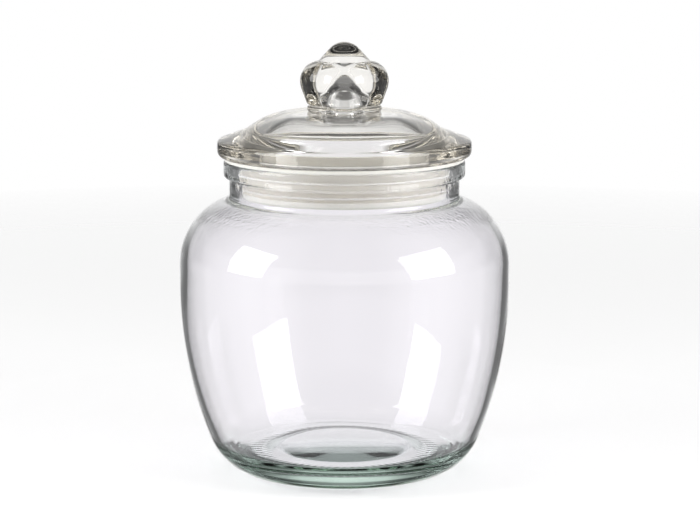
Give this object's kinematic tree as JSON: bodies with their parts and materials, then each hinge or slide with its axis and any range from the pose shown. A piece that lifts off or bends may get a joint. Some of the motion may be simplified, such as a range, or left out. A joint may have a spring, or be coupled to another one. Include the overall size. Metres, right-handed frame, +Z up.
{
  "type": "glass storage jar",
  "caption": "Bulbous wide-mouth jar of clear glass with a domed glass lid, a four-lobed glass knob and a finned translucent seal ring.",
  "frame": {"origin": "centre of the plane that the bearing ring stands on, on the jar's axis", "axes": "+Z up along the jar's axis; one lobe of the knob points along -Y, which is the front"},
  "size_m": [0.15, 0.15, 0.196],
  "materials": {
    "jar_glass": "clear soda-lime glass, fire-polished, faint green in the thick base",
    "lid_glass": "clear pressed glass, faintly warm at the rim",
    "seal_plastic": "milky translucent polyethylene, satin"
  },
  "bodies": {
    "jar": {"jar_body": "jar_glass"},
    "seal": {"lid_seal": "seal_plastic"},
    "lid": {"lid": "lid_glass"}
  },
  "joints": [
    {"name": "lid_lift", "type": "slide", "parent": "jar", "child": "seal", "axis": [0, 0, 1], "range_m": [0, 0.06]},
    {"name": "lid_turn", "type": "hinge", "parent": "seal", "child": "lid", "pos_m": [0, 0, 0.14445], "axis": [0, 0, 1], "continuous": true}
  ]
}
